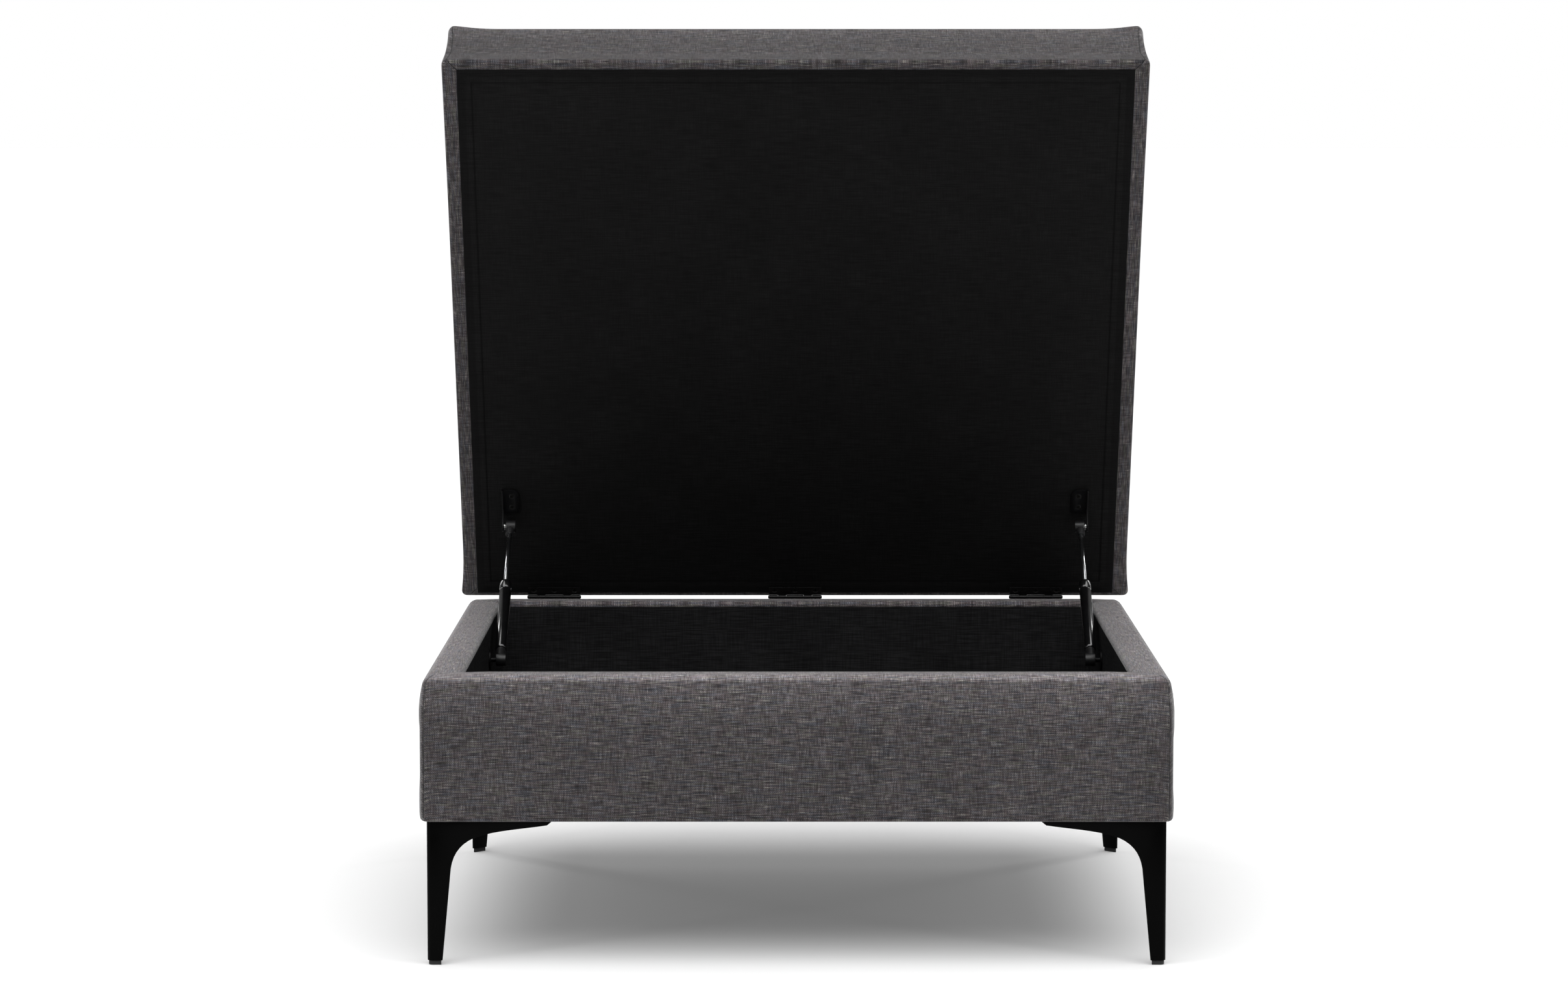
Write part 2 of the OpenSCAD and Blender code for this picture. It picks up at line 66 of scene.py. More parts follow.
# %% Main sizes
hinge = next(j for j in frame["joints"] if j["name"] == "lid_hinge")
HINGE = Vector(hinge["pos_m"])
OPEN = math.radians(max(hinge["range_deg"]))
opened = Matrix.Translation(HINGE) @ Matrix.Rotation(-OPEN, 4, "X") @ Matrix.Translation(-HINGE)
closed = opened.inverted()


def closed_box(node):
    """The lowest and highest corner of a lid node when the lid is shut."""
    points = [closed @ v.co for v in nodes[node].data.vertices]
    return [Vector([pick(p[i] for p in points) for i in range(3)]) for pick in (min, max)]


box_lo, box_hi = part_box("box_cover")
lining_lo, lining_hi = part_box("lining_walls")
lid_lo, lid_hi = closed_box("lid_cover")
panel_lo, panel_hi = closed_box("lid_dust_cover")
BOX_Y = (box_lo.y + box_hi.y) / 2
LID_Y = (lid_lo.y + lid_hi.y) / 2
LID_SIDE = 0.109
CROWN = lid_hi.z - lid_lo.z - LID_SIDE
print("box", [round(v, 4) for v in box_hi - box_lo], "lid", [round(v, 4) for v in lid_hi - lid_lo])

# %% [markdown]
# ## Camera
# A long lens from well back keeps the lid's sides nearly parallel. The camera stands a
# little above the lid's top edge and looks slightly down, into the open box.

# %% Camera
SENSOR_MM, LENS_MM = 36, 102.75
EYE = (-0.0145, -5.5328, 1.0193)
LOOKS_DOWN = 5.26
eye = bpy.data.objects.new("camera", bpy.data.cameras.new("camera"))
eye.data.sensor_width = SENSOR_MM
eye.data.lens = LENS_MM
eye.location = EYE
eye.rotation_euler = (math.radians(90 - LOOKS_DOWN), 0, 0)
bpy.context.scene.collection.objects.link(eye)
bpy.context.scene.camera = eye
print("camera at", tuple(round(c, 3) for c in eye.location))

# %% [markdown]
# ## Shader arithmetic
# A material's pattern is a formula over the surface. A small class wraps a node's socket,
# so that the formula reads as one: adding two fields adds a Math node. Each finish is
# another small class with one method that makes any node: first the node's settings, then
# the values or links of its sockets.

# %% Fields and finishes
class Field:
    """A number that changes over the surface: a node's socket, with arithmetic."""

    def __init__(self, finish, socket):
        self.finish, self.socket = finish, socket

    def __add__(self, other):
        return self.finish.maths("ADD", self, other)

    def __radd__(self, other):
        return self.finish.maths("ADD", other, self)

    def __sub__(self, other):
        return self.finish.maths("SUBTRACT", self, other)

    def __rsub__(self, other):
        return self.finish.maths("SUBTRACT", other, self)

    def __mul__(self, other):
        return self.finish.maths("MULTIPLY", self, other)

    def __rmul__(self, other):
        return self.finish.maths("MULTIPLY", other, self)

    def __truediv__(self, other):
        return self.finish.maths("DIVIDE", self, other)

    def __mod__(self, other):
        return self.finish.maths("FLOORED_MODULO", self, other)

    def __lt__(self, other):
        return self.finish.maths("LESS_THAN", self, other)

    def __gt__(self, other):
        return self.finish.maths("GREATER_THAN", self, other)

    def __abs__(self):
        return self.finish.maths("ABSOLUTE", self)

    def floor(self):
        return self.finish.maths("FLOOR", self)

    def sign(self):
        return self.finish.maths("SIGN", self)

    def sine(self):
        return self.finish.maths("SINE", self)

    def largest(self, other):
        return self.finish.maths("MAXIMUM", self, other)

    def smallest(self, other):
        return self.finish.maths("MINIMUM", self, other)

    def ramp(self, low, high, start=0.0, end=1.0):
        """Eases from start to end as this goes from low to high."""
        return self.finish.node(
            "ShaderNodeMapRange",
            {"Value": self, "From Min": low, "From Max": high, "To Min": start, "To Max": end},
            {"interpolation_type": "SMOOTHSTEP"},
        )

    def parts(self):
        """The three numbers of a vector field."""
        return [self.finish.node("ShaderNodeSeparateXYZ", {0: self}, out=i) for i in range(3)]


class Finish:
    """One material. node() makes any node, and the rest are short ways to common ones."""

    def __init__(self, name):
        self.material = bpy.data.materials.new(name)
        self.material.use_nodes = True
        self.tree = self.material.node_tree
        self.tree.nodes.clear()

    def node(self, kind, values, settings=None, out=0):
        made = self.tree.nodes.new(kind)
        for name, value in (settings or {}).items():
            setattr(made, name, value)
        for key, value in values.items():
            if isinstance(value, Field):
                self.tree.links.new(value.socket, made.inputs[key])
            else:
                made.inputs[key].default_value = value
        return Field(self, made.outputs[out]) if made.outputs else made

    def maths(self, operation, a, b=0.0):
        return self.node("ShaderNodeMath", {0: a, 1: b}, {"operation": operation})

    def place(self, turn=None):
        """The point on the piece, turned and moved by a matrix where one is given."""
        here = self.node("ShaderNodeTexCoord", {}, out=3)
        if turn is None:
            return here
        return self.node(
            "ShaderNodeMapping",
            {"Vector": here, "Location": turn.translation, "Rotation": turn.to_euler()},
        )

    def join(self, x, y=0.0, z=0.0):
        return self.node("ShaderNodeCombineXYZ", {0: x, 1: y, 2: z})

    def noise(self, at, scale=1.0, detail=2.0):
        return self.node("ShaderNodeTexNoise", {"Vector": at, "Scale": scale, "Detail": detail})

    def dye(self, share, one, other):
        """A colour between one and other."""
        return self.node(
            "ShaderNodeMix", {0: share, 6: one, 7: other}, {"data_type": "RGBA"}, out=2
        )

    def dim(self, colour, amount):
        """A colour made darker or lighter by a field."""
        grey = self.join(amount, amount, amount)
        return self.node(
            "ShaderNodeMix",
            {0: 1.0, 6: colour, 7: grey},
            {"data_type": "RGBA", "blend_type": "MULTIPLY"},
            out=2,
        )

    def relief(self, height, depth, strength=1.0):
        """A bump of that depth in metres."""
        return self.node(
            "ShaderNodeBump", {"Strength": strength, "Distance": depth, "Height": height}
        )

    def shade(self, **sockets):
        """Closes the material with a principled shader: Base_Color=... sets Base Color."""
        values = {name.replace("_", " "): value for name, value in sockets.items()}
        shader = self.node("ShaderNodeBsdfPrincipled", values)
        self.node("ShaderNodeOutputMaterial", {"Surface": shader})
        return self.material


def paint(code):
    """A colour as the shader needs it, from the code that a paint chart gives."""
    part = [int(code[i : i + 2], 16) / 255 for i in (1, 3, 5)]
    return (*[c / 12.92 if c < 0.04045 else ((c + 0.055) / 1.055) ** 2.4 for c in part], 1.0)


# %% [markdown]
# ## Upholstery cloth
# The real cover is a heathered linen-look twill: dark warp and weft yarns of charcoal,
# blue-grey, plum and khaki, with thick places, called slubs, that catch the light. The
# pattern has to follow the cloth round the edges. A wrap coordinate does that: one thread
# direction runs level round the sides, and the other climbs the side and turns in over the
# rim. It changes over at the corners' mitre lines, where the real panels are sewn, so the
# same formula also gives the seams.

# %% The cloth's own coordinates
def wrapped(finish, turn, middle, half, top, all_round):
    """Thread coordinates along and across, distance to a mitre and to the rim, and the drop."""
    x, y, z = finish.place(turn).parts()
    y = y - middle
    inset_x, inset_y = half[0] - abs(x), half[1] - abs(y)
    drop = (top - z).largest(0.0)
    below = 1.0 if all_round else z < top - 0.004
    on_side = (inset_x < inset_y) * below
    from_top = x.sign() * (drop - 0.5)
    from_front = y.sign() * (drop - 0.5)
    along = y * on_side + x * (1 - on_side)
    across = (x + from_top) * on_side + (y + from_front) * (1 - on_side)
    seam = abs(inset_x - inset_y) + (1.0 - below) * 0.05
    edge = inset_x.smallest(inset_y) + drop
    return along, across, seam, edge, drop


# %% [markdown]
# The weave is a two-and-two twill. Whole-number cells say which yarn lies on top, and a
# round profile over each yarn gives the relief. Noise stretched along the yarns makes the
# slubs and the heathered colour, in each direction by itself, as different bobbins do.

# %% Tweed
WARP, WEFT = 0.56 * MM, 0.72 * MM


def tweed(name, turn, middle, half, top, all_round):
    cloth = Finish(name)
    along, across, seam, edge, drop = wrapped(cloth, turn, middle, half, top, all_round)
    warp, weft = along / WARP, across / WEFT
    cell = warp.floor() + weft.floor()
    on_top = (cell % 4.0) < 2.0
    hump_warp = 1 - abs((warp % 1.0) - 0.5) * 2.0
    hump_weft = 1 - abs((weft % 1.0) - 0.5) * 2.0
    hump = hump_warp * on_top + hump_weft * (1 - on_top)
    level = cloth.join(along / 0.02, across / 0.0011, 3.0)
    upright = cloth.join(along / 0.0012, across / 0.013, 7.0)
    level_tone = cloth.noise(level, 1.0, 3.0)
    upright_tone = cloth.noise(upright, 1.0, 3.0)
    level_hue = cloth.noise(cloth.join(along / 0.03, across / 0.0021, 11.0), 1.0, 1.0)
    upright_hue = cloth.noise(cloth.join(along / 0.0022, across / 0.03, 17.0), 1.0, 1.0)
    level_yarn = cloth.dye(level_hue.ramp(0.38, 0.52), paint("#5c5d66"), paint("#6c5f61"))
    level_yarn = cloth.dye(level_hue.ramp(0.52, 0.68), level_yarn, paint("#74736a"))
    upright_yarn = cloth.dye(upright_hue.ramp(0.4, 0.6), paint("#504c4d"), paint("#6c6c70"))
    yarn = cloth.dye(on_top * 0.55 + 0.1, level_yarn, upright_yarn)
    thick_level = cloth.join(along / 0.014, across / 0.0008, 23.0)
    slub_level = cloth.noise(thick_level, 1.0, 0.0).ramp(0.6, 0.8)
    thick_upright = cloth.join(along / 0.001, across / 0.009, 29.0)
    slub_upright = cloth.noise(thick_upright, 1.0, 0.0).ramp(0.64, 0.8)
    yarn = cloth.dye(slub_level * 0.42, yarn, paint("#b4b1a6"))
    yarn = cloth.dye(slub_upright * 0.4, yarn, paint("#aaa6a2"))
    tone = level_tone.ramp(0.3, 0.7, 0.38, 1.6) * upright_tone.ramp(0.3, 0.7, 0.62, 1.4)
    patch = cloth.noise(cloth.join(along * 5.0, across * 5.0, 31.0), 1.0, 2.0)
    shadow = hump.ramp(0.0, 0.9, 0.4, 1.2) * (0.72 + on_top * 0.56)
    # Lighter towards the edges, partly edge wear and partly painted highlight. On the box the rim's
    # top is made much lighter still, a painted highlight where the overhead light falls.
    edge_wear_and_painted_highlight = edge.ramp(0.012, 0.06, 1.42, 1.0)
    if all_round:
        edge_wear_and_painted_highlight = edge_wear_and_painted_highlight * drop.ramp(0.0, 0.007, 2.3, 1.0)
    # The seam's groove is sunk in the bump, and it is also darkened in the colour as painted shade in
    # the sewn crease.
    groove = seam.ramp(0.0003, 0.0012, 1.0, 0.0)
    light = tone * patch.ramp(0.3, 0.7, 0.9, 1.1) * shadow * edge_wear_and_painted_highlight * (1 - groove * 0.7) * 0.5
    height = hump * 0.6 + slub_level * 0.6 + level_tone * 0.4 + upright_tone * 0.3 - groove * 3.0
    return cloth.shade(
        Base_Color=cloth.dim(yarn, light),
        Roughness=0.92 - slub_level * 0.1,
        Normal=cloth.relief(height, 0.0004, 0.6),
        Sheen_Weight=0.6,
        Sheen_Roughness=0.3,
        Specular_IOR_Level=0.25,
    )


box_cloth = tweed("box_tweed", None, BOX_Y, (box_hi - box_lo) / 2, box_hi.z, True)
lid_cloth = tweed("lid_tweed", closed, LID_Y, (lid_hi - lid_lo) / 2, lid_lo.z + LID_SIDE, False)
print("cloth finishes made")

# %% [markdown]
# ## Lining and dust covers
# The lining is a thin black plain weave. The dust covers are spun-bonded: pressed fibres
# with a faint grid of weld points. Both are nearly black, so their relief and their
# roughness carry the look, and the colour changes only a little.

# %% Black cloths
PLAIN_THREAD = 1.1 * MM


def plain_weave(name, turn, tint, hem=None):
    cloth = Finish(name)
    x, y, z = cloth.place(turn).parts()
    along, across = x, y
    if turn is None:
        facing = cloth.node("ShaderNodeNewGeometry", {}, out=1)
        flat = abs(facing.parts()[2]) > 0.7
        along = x + y * (1.0 - flat)
        across = y * flat + z * (1.0 - flat)
    threads = [(d / PLAIN_THREAD) % 1.0 for d in (along, across)]
    humps = [1 - abs(t - 0.5) * 2.0 for t in threads]
    swap = ((along / PLAIN_THREAD).floor() + (across / PLAIN_THREAD).floor()) % 2.0
    hump = humps[0] * swap + humps[1] * (1 - swap)
    level = cloth.noise(cloth.join(along / 0.03, across / 0.0015), 1.0, 2.0)
    upright = cloth.noise(cloth.join(along / 0.0015, across / 0.03, 5.0), 1.0, 2.0)
    tone = level.ramp(0.3, 0.7, 0.6, 1.4) * upright.ramp(0.3, 0.7, 0.75, 1.25)
    dust = cloth.noise(cloth.join(along * 9.0, across * 9.0, 2.0), 1.0, 3.0)
    # The hump term is painted shade: each thread is darker towards its edges, where shade falls
    # between threads.
    tone = tone * dust.ramp(0.35, 0.7, 0.9, 1.2) * hump.ramp(0.0, 1.0, 0.6, 1.1)
    if hem is not None:
        lo, hi, reach = hem
        inset = (x - lo.x).smallest(hi.x - x).smallest((y - lo.y).smallest(hi.y - y))
        line = abs(inset - reach).ramp(0.0006, 0.0014, 0.75, 0.0)
        tone = tone * inset.ramp(reach * 0.5, reach * 0.6, 0.55, 1.0) * (1 - line)
    return cloth.shade(
        Base_Color=cloth.dim(paint(tint), tone),
        Roughness=0.85 - level * 0.15,
        Normal=cloth.relief(hump + level, 0.0003, 0.5),
        Specular_IOR_Level=0.12,
    )


lining_cloth = plain_weave("lining_cloth", None, "#202021")
HEM = 0.018
dust_cloth = plain_weave("dust_cloth", closed, "#0e0e0e", (panel_lo, panel_hi, HEM))
WIDER = Vector((0.006, 0.006, 0))
base_lo, base_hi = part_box("base_dust_cover")
base_lo -= WIDER
base_hi += WIDER
base_cloth = plain_weave("base_dust_cloth", None, "#1b1b1b", (base_lo, base_hi, HEM))

# %% [markdown]
# ## Metals, paint and plastic
# The legs are powder coated: a satin black with a fine orange-peel skin and faint scuffs
# near the floor. The strut tubes have a smoother gloss paint, the rods are hard chrome with
# the faint rings that polishing leaves, and the hinges are black-dipped steel whose skin
# has worn a little in scattered spots.

# %% Hard finishes
def coated(name, tint, rough, peel, worn="#3c3c3e", low=None, gloss=0.12, coat=0.0):
    """A painted or dipped black skin, with peel in metres, and scuffs below a height."""
    skin = Finish(name)
    here = skin.place()
    cloud = skin.noise(here, 35.0, 3.0)
    grain = skin.noise(here, 1400.0, 2.0)
    marks = skin.noise(here, 260.0, 4.0).ramp(0.66, 0.74)
    if low is not None:
        marks = marks * here.parts()[2].ramp(low, low * 3, 1.0, 0.08)
    else:
        marks = marks * 0.35
    return skin.shade(
        Base_Color=skin.dye(marks * 0.5, paint(tint), paint(worn)),
        Roughness=cloud.ramp(0.3, 0.7, rough - 0.05, rough + 0.07) + marks * 0.12,
        Normal=skin.relief(grain, peel, 0.35),
        Specular_IOR_Level=gloss,
        Coat_Weight=coat,
        Coat_Roughness=0.12,
    )


def moulded(name, tint, rough):
    """Plastic with a fine moulded grain."""
    skin = Finish(name)
    here = skin.place()
    grain = skin.node("ShaderNodeTexVoronoi", {"Vector": here, "Scale": 1600.0})
    cloud = skin.noise(here, 60.0, 2.0)
    return skin.shade(
        Base_Color=skin.dim(paint(tint), cloud.ramp(0.3, 0.7, 0.85, 1.2)),
        Roughness=cloud.ramp(0.3, 0.7, rough - 0.06, rough + 0.06),
        Normal=skin.relief(grain, 0.00008, 0.4),
    )


def bare_metal(name, tint, rough, axis, rings):
    """Turned or plated metal: fine rings at so many per metre along an axis."""
    skin = Finish(name)
    here = skin.place()
    reach = [part * weight for part, weight in zip(here.parts(), axis)]
    ring = skin.noise(skin.join((reach[0] + reach[1] + reach[2]) * rings), 1.0, 3.0)
    cloud = skin.noise(here, 90.0, 3.0)
    return skin.shade(
        Base_Color=skin.dim(paint(tint), cloud.ramp(0.3, 0.7, 0.9, 1.05)),
        Metallic=1.0,
        Roughness=ring.ramp(0.3, 0.7, rough - 0.04, rough + 0.08),
        Normal=skin.relief(ring, 0.00002, 0.4),
    )


slide = next(j for j in frame["joints"] if j["name"] == "strut_slide_left")
SLIDE = Vector(slide["axis"])
SCUFFED_BELOW = 0.05
leg_paint = coated(
    "leg_powder_coat", "#040404", 0.34, 0.00006, worn="#161617", low=SCUFFED_BELOW, gloss=0.03
)
hinge_skin = coated("hinge_black_dip", "#0a0a0a", 0.3, 0.00003, worn="#3a3936", gloss=0.3)
strut_skin = coated("strut_gloss_paint", "#0a0a0b", 0.2, 0.00001, "#2a2a2b", gloss=0.5, coat=1.0)
bracket_skin = coated("bracket_black_dip", "#0b0b0c", 0.38, 0.00003, worn="#383735")
screw_skin = coated("screw_black_oxide", "#151514", 0.4, 0.00002, worn="#5d5b57")
socket_skin = moulded("socket_plastic", "#101011", 0.42)
glide_skin = moulded("glide_plastic", "#131314", 0.6)
guide_skin = moulded("guide_plastic", "#232324", 0.5)
chrome = bare_metal("rod_chrome", "#d6d8da", 0.14, SLIDE, 6000.0)
zinc = bare_metal("zinc_plate", "#b3b4b2", 0.3, (1, 0, 0), 2500.0)


def timber(name, axis):
    """Sawn softwood with its grain along an axis: 0 is X, 1 is Y."""
    wood = Finish(name)
    parts = wood.place().parts()
    grain = wood.join(*[p * (1.5 if i == axis else 38.0) for i, p in enumerate(parts)])
    ring = (wood.noise(grain, 1.0, 3.0) * 38.0).sine().ramp(-1.0, 1.0)
    pore = wood.noise(wood.join(*[p * (30 if i == axis else 900) for i, p in enumerate(parts)]))
    return wood.shade(
        Base_Color=wood.dye(ring * 0.7, paint("#b98d5c"), paint("#8a5f38")),
        Roughness=pore.ramp(0.3, 0.7, 0.6, 0.8),
        Normal=wood.relief(pore + ring * 0.5, 0.0002, 0.4),
    )


wood_x, wood_y = timber("timber_across", 0), timber("timber_deep", 1)
print("hard finishes made")

# %% [markdown]
# ## Making pieces
# A new piece starts as a bmesh, and helpers turn it into an object in the right place: its
# mesh keeps the position, its object stays at the origin, and it rides on a body. Flat cuts
# are made in many places, so they have a helper as well.

# %% Helpers for pieces
def built(bm, name, finish, sharp=None):
    """A smooth-shaded object from a bmesh, with hard edges above an angle in degrees."""
    mesh = bpy.data.meshes.new(name)
    bm.to_mesh(mesh)
    bm.free()
    mesh.materials.append(finish)
    mesh.shade_smooth()
    if sharp is not None:
        mesh.set_sharp_from_angle(angle=math.radians(sharp))
    made = bpy.data.objects.new(name, mesh)
    bpy.context.scene.collection.objects.link(made)
    return made


def riding(made, body, stands_for):
    """Puts an object on a body, in place of some frame nodes."""
    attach(made, body)
    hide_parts(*stands_for)
    return made


def piece(bm, name, finish, body, stands_for, sharp=None, turn=None):
    """A closed bmesh as a riding object, with its faces outward, turned by a matrix."""
    if turn is not None:
        bmesh.ops.transform(bm, matrix=turn, verts=bm.verts)
    bmesh.ops.recalc_face_normals(bm, faces=bm.faces)
    return riding(built(bm, name, finish, sharp), body, stands_for)


def refinished(node, finish):
    """Gives one of the frame's own parts a finish and leaves its shape alone."""
    nodes[node].data.materials.clear()
    nodes[node].data.materials.append(finish)


def unit(axis, way=1):
    """A unit vector along an axis."""
    made = Vector((0, 0, 0))
    made[axis] = way
    return made


def cut(bm, at, way, merge=0.0):
    """Cuts a bmesh along a plane, using points nearer than merge as they are."""
    whole = bm.verts[:] + bm.edges[:] + bm.faces[:]
    bmesh.ops.bisect_plane(bm, geom=whole, dist=merge, plane_co=at, plane_no=way)


def block(lo, hi):
    """A plain block between two corners, the start of most covers."""
    bm = bmesh.new()
    bmesh.ops.create_cube(bm, size=1.0)
    lo, hi = Vector(lo), Vector(hi)
    bmesh.ops.scale(bm, vec=hi - lo, verts=bm.verts)
    bmesh.ops.translate(bm, vec=(lo + hi) / 2, verts=bm.verts)
    return bm


def soften(bm, edges, radius, segments):
    """Rounds the edges."""
    bmesh.ops.bevel(
        bm, geom=edges, offset=radius, segments=segments, affect="EDGES", profile=0.5, material=-1
    )


def upright(bm):
    """The edges that climb by more than 20 mm."""
    return [e for e in bm.edges if abs(e.verts[0].co.z - e.verts[1].co.z) > 0.02]


def ring_at(bm, z):
    """The edges of the outline at a height, within half a millimetre."""
    return [
        e
        for e in bm.edges
        if all(abs(v.co.z - z) < 0.0005 for v in e.verts)
        and any(abs(f.normal.z) < 0.9 for f in e.link_faces)
    ]


def modified(made):
    """Makes a piece's modifiers permanent."""
    graph = bpy.context.evaluated_depsgraph_get()
    graph.update()
    mesh = bpy.data.meshes.new_from_object(made.evaluated_get(graph))
    made.modifiers.clear()
    old, made.data = made.data, mesh
    bpy.data.meshes.remove(old)
    return made


# %% [markdown]
# ## Stuffing a cover
# Foam pushes a cover out and the cloth holds it back. The Cloth solver is tried for that: the
# block is cut into even squares, the part that is stapled to wood is pinned, and a little
# pressure acts on the rest. It doesn't give a settled cloth. On the box, points swing by more
# than 20 mm in 20 frames, and the numbers change a little from run to run. Only outward
# movement is kept, up to a cap, and both are printed. It isn't run on the lid's cover.

# %% The stuffing helpers
def even_cuts(bm, spacing, margin, axes=(0, 1, 2)):
    """Cuts a block into squares, but leaves its rounded edges as they are."""
    for axis in axes:
        low = min(v.co[axis] for v in bm.verts) + margin
        high = max(v.co[axis] for v in bm.verts) - margin
        count = max(1, round((high - low) / spacing))
        way = unit(axis)
        for i in range(count + 1):
            cut(bm, way * (low + (high - low) * i / count), way, merge=0.0015)


PRESSURE = 3.0
FRAMES = 20


def stuffed(made, cap, held):
    """Runs the solver and keeps outward movement. held(point) says which points are pinned."""
    start = [v.co.copy() for v in made.data.vertices]
    outward = [v.normal.copy() for v in made.data.vertices]
    fixed = [i for i, point in enumerate(start) if held(point)]
    pins = made.vertex_groups.new(name="stapled")
    pins.add(fixed, 1.0, "REPLACE")
    cloth = made.modifiers.new("cloth", "CLOTH")
    cloth.settings.quality = 6
    cloth.settings.mass = 0.3
    cloth.settings.tension_stiffness = 25
    cloth.settings.compression_stiffness = 25
    cloth.settings.shear_stiffness = 15
    cloth.settings.bending_stiffness = 4
    cloth.settings.use_pressure = True
    cloth.settings.uniform_pressure_force = PRESSURE
    cloth.settings.vertex_group_mass = pins.name
    cloth.settings.effector_weights.gravity = 0
    cloth.point_cache.frame_start = 1
    cloth.point_cache.frame_end = FRAMES
    for step in range(1, FRAMES + 1):
        bpy.context.scene.frame_set(step)
    modified(made)
    bpy.context.scene.frame_set(1)
    moves = [(v.co - was).dot(out) for v, was, out in zip(made.data.vertices, start, outward)]
    for v, was, out, move in zip(made.data.vertices, start, outward, moves):
        v.co = was + out * min(cap, max(0.0, move))
    made.vertex_groups.clear()
    swing = [round(move / MM, 1) for move in (min(moves), max(moves))]
    print(made.name, "solver moved points by", swing, "mm; kept 0 to", round(cap / MM, 1), "mm")


def subdivided(made):
    finer = made.modifiers.new("finer", "SUBSURF")
    finer.levels = finer.render_levels = 1
    return made


# %% [markdown]
# ## The box's cover
# The walls are boards with thin foam outside and thicker foam on the rim. The cover turns
# from the outside over the rim and is stapled inside and under the box. It stands a little
# fuller than the frame's. Four cuts mark the opening in the block, and a bridge joins the two
# holes, which gives it clean inner walls.

# %% Box upholstery
SIDE_FULL = 0.0042
RIM_RISE = 0.0022
rim_z = box_hi.z + RIM_RISE
BOX_LEAN = Vector((0.0035, 0.0025))
LEAN_FROM = 0.295
MOST_SWELL = 0.0022
half_hole = Vector((lining_hi.x, (lining_hi.y - lining_lo.y) / 2))
bm = block(box_lo - Vector((SIDE_FULL, 0.0005, 0)), (box_hi.x + SIDE_FULL, box_hi.y, rim_z))
cut(bm, unit(2) * LEAN_FROM, unit(2))
for v in bm.verts:
    if v.co.z > rim_z - 0.001:
        v.co.x -= math.copysign(BOX_LEAN.x, v.co.x)
        v.co.y -= math.copysign(BOX_LEAN.y, v.co.y - BOX_Y)
soften(bm, upright(bm), 0.010, 4)
soften(bm, ring_at(bm, rim_z), 0.013, 5)
soften(bm, ring_at(bm, box_lo.z), 0.005, 3)
bm.normal_update()
inner = half_hole + Vector((0.0004, 0.0004))
for axis, way in ((0, -1), (0, 1), (1, -1), (1, 1)):
    cut(bm, Vector((0, BOX_Y, 0)) + unit(axis, way) * inner[axis], unit(axis, way))
hole = []
for face in bm.faces:
    middle = face.calc_center_median()
    if abs(face.normal.z) > 0.9 and abs(middle.x) < inner.x and abs(middle.y - BOX_Y) < inner.y:
        hole.append(face)
bmesh.ops.delete(bm, geom=hole, context="FACES")
bmesh.ops.bridge_loops(bm, edges=[e for e in bm.edges if e.is_boundary])
bmesh.ops.recalc_face_normals(bm, faces=bm.faces)
even_cuts(bm, 0.011, 0.0125, (0, 1))
even_cuts(bm, 0.011, 0.0135, (2,))
walls = ("front_padding", "back_padding", "left_padding", "right_padding")
box_upholstery = piece(bm, "box_upholstery", box_cloth, "box", ("box_cover", *walls))
pinned = half_hole + Vector((0.002, 0.002))


def box_held(point):
    """The wall's inner face and the underside are stapled to the boards."""
    within = abs(point.x) < pinned.x and abs(point.y - BOX_Y) < pinned.y
    return within or point.z < box_lo.z + 0.002


stuffed(box_upholstery, MOST_SWELL, box_held)
half_box = (box_hi - box_lo) / 2
for v in box_upholstery.data.vertices:
    if v.co.z > rim_z - 0.004:
        mitre = abs((box_hi.x - abs(v.co.x)) - (half_box.y - abs(v.co.y - BOX_Y)))
        v.co.z += 0.0010 * min(1.0, mitre / 0.03) - 0.0008
subdivided(box_upholstery)
print("box upholstery made")

# %% [markdown]
# ## The lid's cover
# The lid is a wooden frame with a thick foam top. Its side is widest a quarter of the way
# up, because the cloth is pulled under the frame, and leans in above. The top is crowned,
# and the four upper corners stand a little proud where the folded cloth is thickest. All of
# this cover is mesh work, with no simulation in it. One fault is known: its sides flare out
# near the back edge, where the real ones are pulled in.

# %% Lid upholstery
FULLER = 0.0055
bm = block(
    lid_lo + Vector((-FULLER, 0.0005, 0)),
    (lid_hi.x + FULLER, lid_hi.y + 0.0018, lid_lo.z + LID_SIDE),
)
widest = lid_lo.z + LID_SIDE * 0.27
cut(bm, unit(2) * widest, unit(2))
for v in bm.verts:
    lean = 0.0065 if v.co.z > widest + 0.001 else 0.002 if v.co.z < widest - 0.001 else 0.0
    v.co.x -= math.copysign(lean, v.co.x)
    v.co.y -= math.copysign(lean, v.co.y - LID_Y)
soften(bm, upright(bm), 0.009, 4)
soften(bm, ring_at(bm, lid_lo.z + LID_SIDE), 0.010, 5)
soften(bm, ring_at(bm, lid_lo.z), 0.006, 4)
even_cuts(bm, 0.012, 0.0125, (0, 1))
even_cuts(bm, 0.012, 0.0115, (2,))
lid_parts = ("lid_cover", "lid_edge_padding", "lid_foam")
lid_upholstery = piece(bm, "lid_upholstery", lid_cloth, "lid", lid_parts)


def crowned(made, rise):
    """Raises the middle of the lid's top."""
    for v in made.data.vertices:
        part = max(0.0, (v.co.z - lid_lo.z - LID_SIDE + 0.012) / 0.012)
        across = min(1.0, abs(v.co.x) / (lid_hi.x - 0.012))
        deep = min(1.0, abs(v.co.y - LID_Y) / (lid_hi.y - LID_Y - 0.012))
        v.co.z += rise * min(1.0, part) * (1 - across**2.6) * (1 - deep**2.6)


